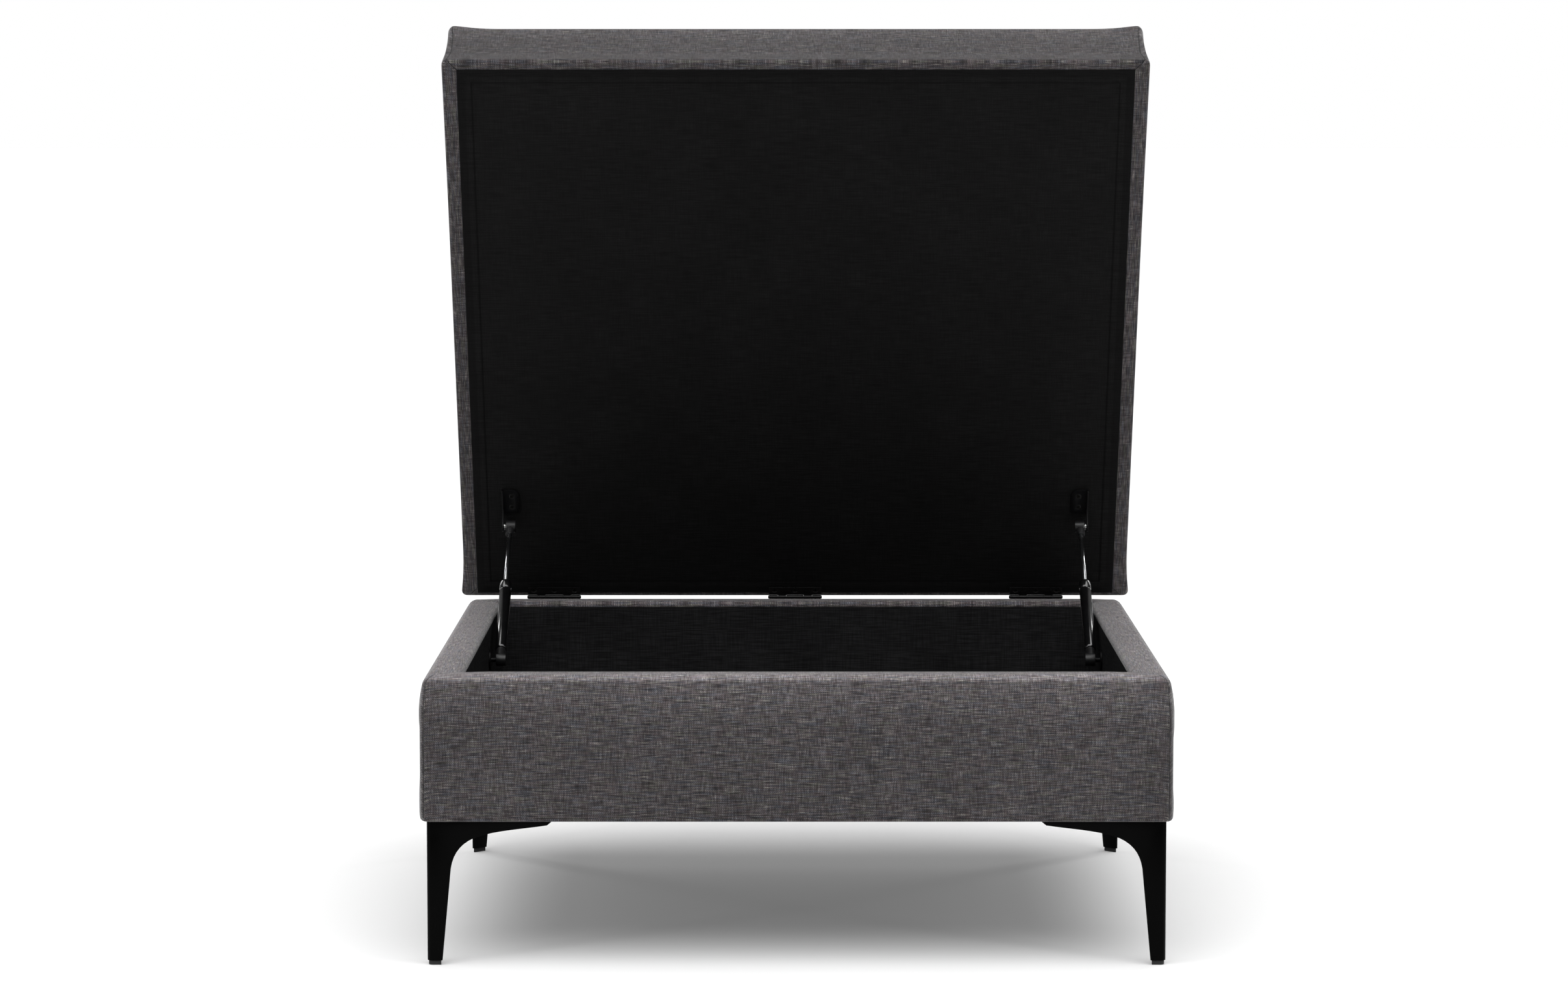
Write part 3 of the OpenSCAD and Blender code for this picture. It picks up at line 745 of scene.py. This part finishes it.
CROWN_KEPT_BACK = 0.004
EAR, EAR_REACH, EAR_DROP = 0.0045, 0.05, 0.06
FRONT_FULLER, BACK_FLARE = 0.0012, 0.005
crowned(lid_upholstery, CROWN - CROWN_KEPT_BACK)
for v in lid_upholstery.data.vertices:
    corner = Vector((abs(v.co.x) - lid_hi.x + 0.01, abs(v.co.y - LID_Y) - lid_hi.y + LID_Y + 0.01))
    below = abs(v.co.z - lid_lo.z - LID_SIDE)
    near = max(0.0, 1 - corner.length / EAR_REACH) * max(0.0, 1 - below / EAR_DROP)
    ear = EAR * near * near
    fuller = max(0.0, 1 - (v.co.y - lid_lo.y) / (0.45 * (lid_hi.y - lid_lo.y))) ** 2
    flared = max(0.0, 1 - (lid_hi.y - v.co.y) / 0.07) ** 2
    shift = FRONT_FULLER * fuller - BACK_FLARE * flared
    # The known fault: copysign drops a sum's minus sign, so the back moves outward.
    v.co.x += math.copysign(ear * 0.7 + shift * min(1.0, abs(v.co.x) / 0.4) ** 8, v.co.x)
    v.co.y += math.copysign(ear, v.co.y - LID_Y)
    v.co.z += ear * 0.6
lid_upholstery.data.transform(opened)
subdivided(lid_upholstery)
print("lid upholstery made")

# %% [markdown]
# ## Dust covers
# A dust cover is one sheet, with its edge turned under before it is stapled. The hem shows
# as a slightly raised band with a stitched line beside it. The sheet is a grid cut along
# the hem's lines, so that the band can be lifted cleanly, and Solidify gives its thickness.


def hemmed(name, lo, hi, face_z, finish, body, stands_for, turn=None):
    """A flat sheet with a raised hem, seen from below."""
    bm = bmesh.new()
    bmesh.ops.create_grid(bm, x_segments=40, y_segments=40, size=0.5)
    bmesh.ops.scale(bm, vec=(hi.x - lo.x, hi.y - lo.y, 1), verts=bm.verts)
    bmesh.ops.translate(bm, vec=((lo.x + hi.x) / 2, (lo.y + hi.y) / 2, face_z), verts=bm.verts)
    for reach in (HEM, HEM + 0.0015, HEM - 0.0012, HEM - 0.003, HEM * 0.45, 0.0012):
        for axis in (0, 1):
            for place in (lo[axis] + reach, hi[axis] - reach):
                cut(bm, unit(axis) * place, unit(axis))
    for v in bm.verts:
        inset = min(v.co.x - lo.x, hi.x - v.co.x, v.co.y - lo.y, hi.y - v.co.y)
        if inset < HEM - 0.0008:
            v.co.z -= 0.0005
        if HEM * 0.4 < inset < HEM * 0.5:
            v.co.z += 0.0003
        if inset < 0.0006:
            v.co.z += 0.0003
        ease = min(1.0, max(0.0, inset - HEM) / 0.05)
        wave = math.sin(v.co.x * 23.0 + 1.3) * math.sin(v.co.y * 19.0 + 0.4)
        v.co.z += 0.0003 * ease * (0.5 + 0.5 * wave)
    made = piece(bm, name, finish, body, stands_for, sharp=50, turn=turn)
    thick = made.modifiers.new("thickness", "SOLIDIFY")
    thick.thickness = 0.0003
    thick.offset = 0.0


hemmed(
    "lid_dust_sheet", panel_lo, panel_hi, panel_hi.z - 0.0003, dust_cloth, "lid",
    ("lid_dust_cover",), opened,
)
hemmed(
    "base_dust_sheet", base_lo, base_hi, box_lo.z - 0.0001, base_cloth, "box",
    ("base_dust_cover",),
)
print("dust covers made")

# %% [markdown]
# ## Lining
# One cut of black cloth lines the walls and the floor. It is modelled as the inside of a
# block with its top face removed and its corners eased, because stapled cloth never makes
# a knife-sharp corner, and a few shallow waves run down from the staples.

# %% Lining
floor_lo, floor_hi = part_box("lining_floor")
EDGE = 0.0004
bm = block(
    (lining_lo.x + 0.001 - EDGE, lining_lo.y + 0.001 - EDGE, floor_lo.z + EDGE),
    (lining_hi.x - 0.001 + EDGE, lining_hi.y - 0.001 + EDGE, lining_hi.z - 0.0035),
)
bm.faces.ensure_lookup_table()
lid_face = max(bm.faces, key=lambda f: f.calc_center_median().z)
bmesh.ops.delete(bm, geom=[lid_face], context="FACES_ONLY")
soften(bm, [e for e in bm.edges if len(e.link_faces) == 2], 0.005, 3)
for axis, count in ((0, 26), (1, 24), (2, 5)):
    low, high = min(v.co[axis] for v in bm.verts), max(v.co[axis] for v in bm.verts)
    for i in range(1, count):
        cut(bm, unit(axis) * (low + (high - low) * i / count), unit(axis))
for v in bm.verts:
    rise = (v.co.z - floor_hi.z) / (lining_hi.z - floor_hi.z)
    if rise > 0.08:
        wave = 0.0005 * math.sin(v.co.x * 31 + v.co.y * 27) * math.sin(math.pi * min(1.0, rise))
        toward = (0.0003 + wave) * min(1.0, rise * 3)
        if abs(v.co.x) > lining_hi.x - 0.004:
            v.co.x -= math.copysign(toward, v.co.x)
        if abs(v.co.y - BOX_Y) > half_hole.y - 0.004:
            v.co.y -= math.copysign(toward, v.co.y - BOX_Y)
bmesh.ops.recalc_face_normals(bm, faces=bm.faces)
bmesh.ops.reverse_faces(bm, faces=bm.faces)
lining = built(bm, "box_lining", lining_cloth, sharp=50)
riding(lining, "box", ("lining_walls", "lining_floor"))

# %% [markdown]
# ## Hard parts
# Legs, hinges, brackets and sockets are right in the frame already. Real ones have no
# sharp edges, though, and a rounded edge is what catches a line of light. Each is copied,
# its loose triangles are merged and dissolved into clean faces, and its sharp edges are
# bevelled by the small radius that casting, pressing or moulding leaves.

# %% Rounded copies of hard parts
SHARP_ENOUGH = math.radians(28)
FLAT_ENOUGH = math.radians(1.2)


def rounded(node, name, radius, finish, body):
    """A copy of a frame part with its sharp edges bevelled."""
    bm = bmesh.new()
    bm.from_mesh(nodes[node].data)
    bmesh.ops.remove_doubles(bm, verts=bm.verts, dist=0.000004)
    bmesh.ops.dissolve_limit(bm, angle_limit=FLAT_ENOUGH, verts=bm.verts, edges=bm.edges)
    edges = [
        e for e in bm.edges if len(e.link_faces) == 2 and e.calc_face_angle(0) > SHARP_ENOUGH
    ]
    bmesh.ops.bevel(
        bm, geom=edges, offset=radius, segments=2, affect="EDGES", profile=0.5, material=-1,
        clamp_overlap=True,
    )
    riding(built(bm, name, finish, sharp=35), body, (node,))


sides = ("left", "right")
corners = [f"{end}_{side}" for end in ("front", "rear") for side in sides]
for corner in corners:
    rounded(f"leg_{corner}", f"{corner}_leg", 0.0009, leg_paint, "box")
    rounded(f"glide_{corner}", f"{corner}_glide", 0.0006, glide_skin, "box")
for spot in ("left", "middle", "right"):
    rounded(f"box_leaf_{spot}", f"{spot}_box_leaf", 0.0003, hinge_skin, "box")
    rounded(f"lid_leaf_{spot}", f"{spot}_lid_leaf", 0.0003, hinge_skin, "lid")
for side in sides:
    rounded(f"lid_bracket_{side}", f"{side}_bracket", 0.0004, bracket_skin, "lid")
    plate = f"{side}_wall_plate"
    rounded(f"strut_plate_{side}", plate, 0.0004, bracket_skin, "box")
    for end, body in (("lower", f"strut_cylinder_{side}"), ("upper", f"strut_rod_{side}")):
        socket, cap = f"{end}_socket_{side}", f"{side}_{end}_end"
        rounded(socket, cap, 0.0007, socket_skin, body)
print("hard parts rounded")

# %% [markdown]
# ## Gas struts
# A strut's tube is one steel pressing: its closed end is domed, its mouth is rolled over
# the guide and a groove is rolled in behind it. Every one of these is round, so a profile
# is spun about the strut's own axis, and then stood in its place with one matrix.

# %% Turned pieces
def turned(profile, steps=40):
    """A bmesh spun about Z from (radius, height) points, its ends closed on the axis."""
    bm = bmesh.new()
    points = [bm.verts.new((radius, 0, height)) for radius, height in profile]
    lines = [bm.edges.new(pair) for pair in zip(points, points[1:])]
    bmesh.ops.spin(
        bm, geom=points + lines, axis=(0, 0, 1), cent=(0, 0, 0), angle=2 * math.pi,
        steps=steps, use_merge=True,
    )
    bmesh.ops.remove_doubles(bm, verts=bm.verts, dist=0.000002)
    return bm


def along(start, way):
    """Stands a turned piece at a point, with its axis along a direction."""
    return Matrix.Translation(start) @ way.to_track_quat("Z", "Y").to_matrix().to_4x4()


def reach_of(node, ball):
    """How far a node reaches along the strut from the lower ball."""
    spans = [(v.co - ball).dot(SLIDE) for v in nodes[node].data.vertices]
    return min(spans), max(spans)


for side in sides:
    ball = Vector(next(j for j in frame["joints"] if j["name"] == f"strut_pivot_{side}")["pos_m"])
    stand = along(ball, SLIDE)
    low, high = reach_of(f"strut_tube_{side}", ball)
    outer = 0.0075
    tube = [
        (0.0, low), (0.0042, low), (0.0062, low + 0.0006), (0.0073, low + 0.002),
        (outer, low + 0.004), (outer, high - 0.0170), (0.0070, high - 0.0162),
        (0.0067, high - 0.0152), (0.0070, high - 0.0142), (outer, high - 0.0134),
        (outer, high - 0.0024), (0.0073, high - 0.0010), (0.0067, high - 0.0002),
        (0.0056, high), (0.0048, high - 0.0004), (0.0044, high - 0.0012),
        (0.0036, high - 0.0012), (0.0033, high - 0.002), (0.0, high - 0.002),
    ]
    piece(
        turned(tube), f"{side}_strut_tube", strut_skin, f"strut_cylinder_{side}",
        (f"strut_tube_{side}",), sharp=40, turn=stand,
    )
    low, high = reach_of(f"rod_{side}", ball)
    rod = [
        (0.0, low), (0.0028, low), (0.003, low + 0.0003), (0.003, high - 0.0006),
        (0.0026, high), (0.0, high),
    ]
    piece(
        turned(rod, 32), f"{side}_strut_rod", chrome, f"strut_rod_{side}",
        (f"rod_{side}",), sharp=40, turn=stand,
    )
    refinished(f"strut_guide_{side}", guide_skin)
    refinished(f"piston_{side}", zinc)
    out = Vector((-1 if side == "left" else 1, 0, 0))
    lo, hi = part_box(f"upper_stud_{side}")
    centre = Vector((ball.x, (lo.y + hi.y) / 2, (lo.z + hi.z) / 2))
    ear = max(abs(lo.x), abs(hi.x)) - abs(ball.x)
    stud = [
        (0.0, -0.005), (0.0024, -0.0044), (0.0042, -0.0027), (0.005, 0.0), (0.0044, 0.0024),
        (0.0032, 0.0038), (0.003, 0.0046), (0.003, ear - 0.0022), (0.0045, ear - 0.0018),
        (0.0045, ear - 0.0003), (0.0042, ear), (0.0, ear),
    ]
    piece(
        turned(stud, 28), f"{side}_upper_ball", zinc, f"strut_rod_{side}",
        (f"upper_stud_{side}",), sharp=40, turn=along(centre, out),
    )
print("struts turned")

# %% [markdown]
# ## Screws
# The frame's screws are plain cones. The ones that show get a domed, cross-headed top: a
# five by five grid is rounded off into a disc, its cross of middle faces is pushed in, and
# a spun shank goes beneath. There are 38 of them, so each stays under a hundred faces.

# %% Screws
def screw(radius, shank, length, dome):
    """A screw along +Z whose head's top is at the origin."""
    bm = bmesh.new()
    bmesh.ops.create_grid(bm, x_segments=5, y_segments=5, size=1.0)
    cross = [
        f
        for f in bm.faces
        if min(abs(c) for c in f.calc_center_median()[:2]) < 0.1
        and max(abs(c) for c in f.calc_center_median()[:2]) < 0.5
    ]
    for v in bm.verts:
        level = max(abs(v.co.x), abs(v.co.y))
        far = Vector((v.co.x, v.co.y, 0)).length
        round_off = level / far if far > 1e-6 else 1.0
        spread = 1.0 + (round_off - 1.0) * (1.0 if level > 0.9 else 0.25)
        v.co.x *= radius * spread
        v.co.y *= radius * spread
        v.co.z = dome * (level * level)
    rim = [e for e in bm.edges if e.is_boundary]
    bmesh.ops.inset_region(bm, faces=cross, thickness=radius * 0.02)
    bmesh.ops.translate(
        bm, vec=(0, 0, radius * 0.45), verts=list({v for f in cross for v in f.verts})
    )
    steps = (
        (1.0, radius * 0.12), (shank / radius, radius * 0.5),
        (1.0, length * 0.9), (0.1, length * 0.1),
    )
    for grow, drop in steps:
        out = bmesh.ops.extrude_edge_only(bm, edges=rim)["geom"]
        points = [g for g in out if isinstance(g, bmesh.types.BMVert)]
        rim = [g for g in out if isinstance(g, bmesh.types.BMEdge) and g.is_boundary]
        bmesh.ops.scale(bm, vec=(grow, grow, 1), verts=points)
        bmesh.ops.translate(bm, vec=(0, 0, drop), verts=points)
    bmesh.ops.contextual_create(bm, geom=rim)
    return bm


def islands(node):
    """The points of each separate screw in a node."""
    bm = bmesh.new()
    bm.from_mesh(nodes[node].data)
    bmesh.ops.remove_doubles(bm, verts=bm.verts, dist=0.000004)
    left, found = set(bm.verts), []
    while left:
        grown, front = set(), [left.pop()]
        while front:
            v = front.pop()
            grown.add(v)
            for e in v.link_edges:
                other = e.other_vert(v)
                if other in left:
                    left.discard(other)
                    front.append(other)
        found.append([v.co.copy() for v in grown])
    bm.free()
    return found


def screw_set(node, name, finish, body, radius, shank, way_of):
    """Detailed screws in the places of a node's plain ones, as one piece."""
    whole = bmesh.new()
    for points in islands(node):
        middle = sum(points, Vector()) / len(points)
        way = way_of(middle)
        spans = [(p - middle).dot(way) for p in points]
        ends = [p for p, s in zip(points, spans) if s < min(spans) + 0.0002]
        start = sum(ends, Vector()) / len(ends)
        bm = screw(radius, shank, max(spans) - min(spans) - radius * 0.62, radius * 0.14)
        turn = Matrix.Rotation(middle.x * 40 + middle.z * 55, 4, "Z")
        bmesh.ops.transform(bm, matrix=along(start, way) @ turn, verts=bm.verts)
        scratch = bpy.data.meshes.new("scratch")
        bm.to_mesh(scratch)
        bm.free()
        whole.from_mesh(scratch)
        bpy.data.meshes.remove(scratch)
    return piece(whole, name, finish, body, (node,), sharp=40)


lid_up = (opened.to_3x3() @ unit(2)).normalized()
screw_set(
    "leg_screws", "leg_cross_screws", zinc, "box", 0.0036, 0.0022,
    lambda p: unit(2),
)
screw_set(
    "box_screws", "box_cross_screws", screw_skin, "box", 0.0034, 0.0018,
    lambda p: unit(0, math.copysign(1, p.x)) if p.y < 0.2 else unit(1, -1),
)
screw_set(
    "lid_screws", "lid_cross_screws", screw_skin, "lid", 0.0034, 0.0018,
    lambda p: lid_up,
)
print("screws made")

# %% [markdown]
# ## What stays as the frame has it
# The boards, rails and hinge pins keep their shapes, because they are plain sawn and turned
# parts. They are mostly hidden, and still get their real finishes.

# %% Finishes on the frame's own parts
for node, finish in {
    "front_board": wood_x, "back_board": wood_x, "left_board": wood_y, "right_board": wood_y,
    "bottom_board": wood_x, "lid_front_rail": wood_x, "lid_back_rail": wood_x,
    "lid_left_rail": wood_y, "lid_right_rail": wood_y, "lid_board": wood_x,
    "hinge_pins": hinge_skin,
}.items():
    refinished(node, finish)

# %% [markdown]
# ## Stage and light
# A wide pale floor runs out to a white surround, so that no horizon shows from any side, and
# glows faintly: a painted glow that helps it come out white and lightens the shadow under the
# box. A broad overhead light, like a studio's cloth ceiling, shines down and a little towards
# the back. It makes the rim and the lid's edge brighter than the box's front, helped on the rim
# by a painted highlight in the cloth, and leaves a soft shadow under the box. Two narrow lights
# in front draw the lines of light on the legs and the strut tubes, and two wider ones behind
# light the sides.

# %% Stage
AMBIENT = 0.12
PALE = (0.86, 0.86, 0.86, 1)
# The floor's glow is painted light: it lightens the shadow under the box as well as the floor.
FLOOR_GLOW = 0.15
FLOOR_HALF = 60.0
sweep = Finish("floor_paper")
speck = sweep.noise(sweep.place(), 2.0, 2.0)
paper = sweep.shade(
    Base_Color=sweep.dim(PALE, speck.ramp(0.3, 0.7, 0.99, 1.0)),
    Roughness=0.9,
    Specular_IOR_Level=0.1,
    Emission_Color=(1, 1, 1, 1),
    Emission_Strength=FLOOR_GLOW,
)
bm = bmesh.new()
bmesh.ops.create_grid(bm, x_segments=1, y_segments=1, size=FLOOR_HALF)
built(bm, "floor", paper)

world = bpy.data.worlds.new("studio")
world.use_nodes = True
sky = world.node_tree
glow = sky.nodes["Background"]
glow.inputs[0].default_value = (1, 1, 1, 1)
glow.inputs[1].default_value = AMBIENT
backing = sky.nodes.new("ShaderNodeBackground")
backing.inputs[0].default_value = (1, 1, 1, 1)
backing.inputs[1].default_value = 1.0
chooser = sky.nodes.new("ShaderNodeMixShader")
sky.links.new(sky.nodes.new("ShaderNodeLightPath").outputs["Is Camera Ray"], chooser.inputs[0])
sky.links.new(glow.outputs[0], chooser.inputs[1])
sky.links.new(backing.outputs[0], chooser.inputs[2])
sky.links.new(chooser.outputs[0], sky.nodes["World Output"].inputs[0])
bpy.context.scene.world = world
bpy.context.scene.view_settings.view_transform = "Standard"


def softbox(name, place, aim, size, watts):
    """A rectangular light at a place, aimed at a point."""
    lamp = bpy.data.lights.new(name, "AREA")
    lamp.shape = "RECTANGLE"
    lamp.size, lamp.size_y = size
    lamp.energy = watts
    made = bpy.data.objects.new(name, lamp)
    made.location = place
    made.rotation_euler = (Vector(aim) - Vector(place)).to_track_quat("-Z", "Y").to_euler()
    bpy.context.scene.collection.objects.link(made)


CEILING_STRENGTH, CEILING_SPREAD, CEILING_TILT = 3.4, math.radians(80), math.radians(17)
ceiling = bpy.data.lights.new("ceiling", "SUN")
ceiling.energy = CEILING_STRENGTH
ceiling.angle = CEILING_SPREAD
overhead = bpy.data.objects.new("ceiling", ceiling)
overhead.rotation_euler = (CEILING_TILT, 0, 0)
bpy.context.scene.collection.objects.link(overhead)
for side, way in (("left", -1), ("right", 1)):
    softbox(f"{side}_edge", (2.6 * way, -2.2, 1.2), (0, 0, 0.5), (0.16, 1.8), 7)
for side, way in (("left", -1), ("right", 1)):
    softbox(f"{side}_back", (2.9 * way, 2.7, 2.0), (0, 0, 0.4), (0.45, 2.0), 14)
print("stage lit")
